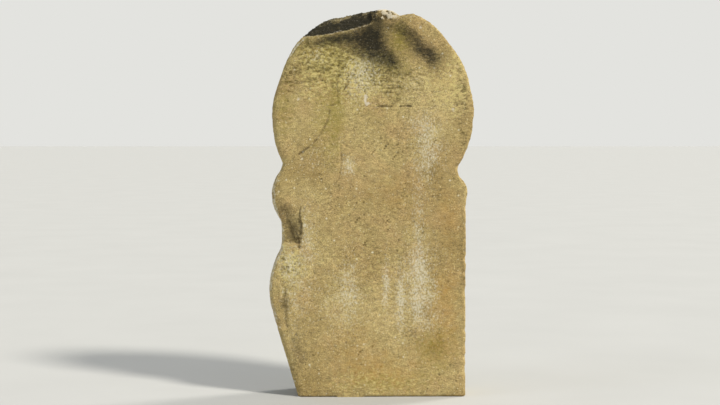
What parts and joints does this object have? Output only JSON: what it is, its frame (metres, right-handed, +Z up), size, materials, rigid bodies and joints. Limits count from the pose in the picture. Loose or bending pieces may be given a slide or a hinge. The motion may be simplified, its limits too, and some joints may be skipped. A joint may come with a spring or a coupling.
{
  "type": "grave marker",
  "caption": "Weathered sandstone headstone: a round disc head on a thick slab, worn and broken along its left side, flat at the foot.",
  "frame": {"origin": "under the middle of the stone's box, on the ground it is cut off at", "axes": "+Z up, +X to the right as the carved front is seen, -Y out of the carved front"},
  "size_m": [0.5552, 0.1678, 1.0487],
  "materials": {
    "sandstone": "weathered ochre sandstone, granular and pitted, with dark algae at the crown and pale streaks down the face"
  },
  "bodies": {
    "root": {"headstone": "sandstone"}
  },
  "joints": []
}
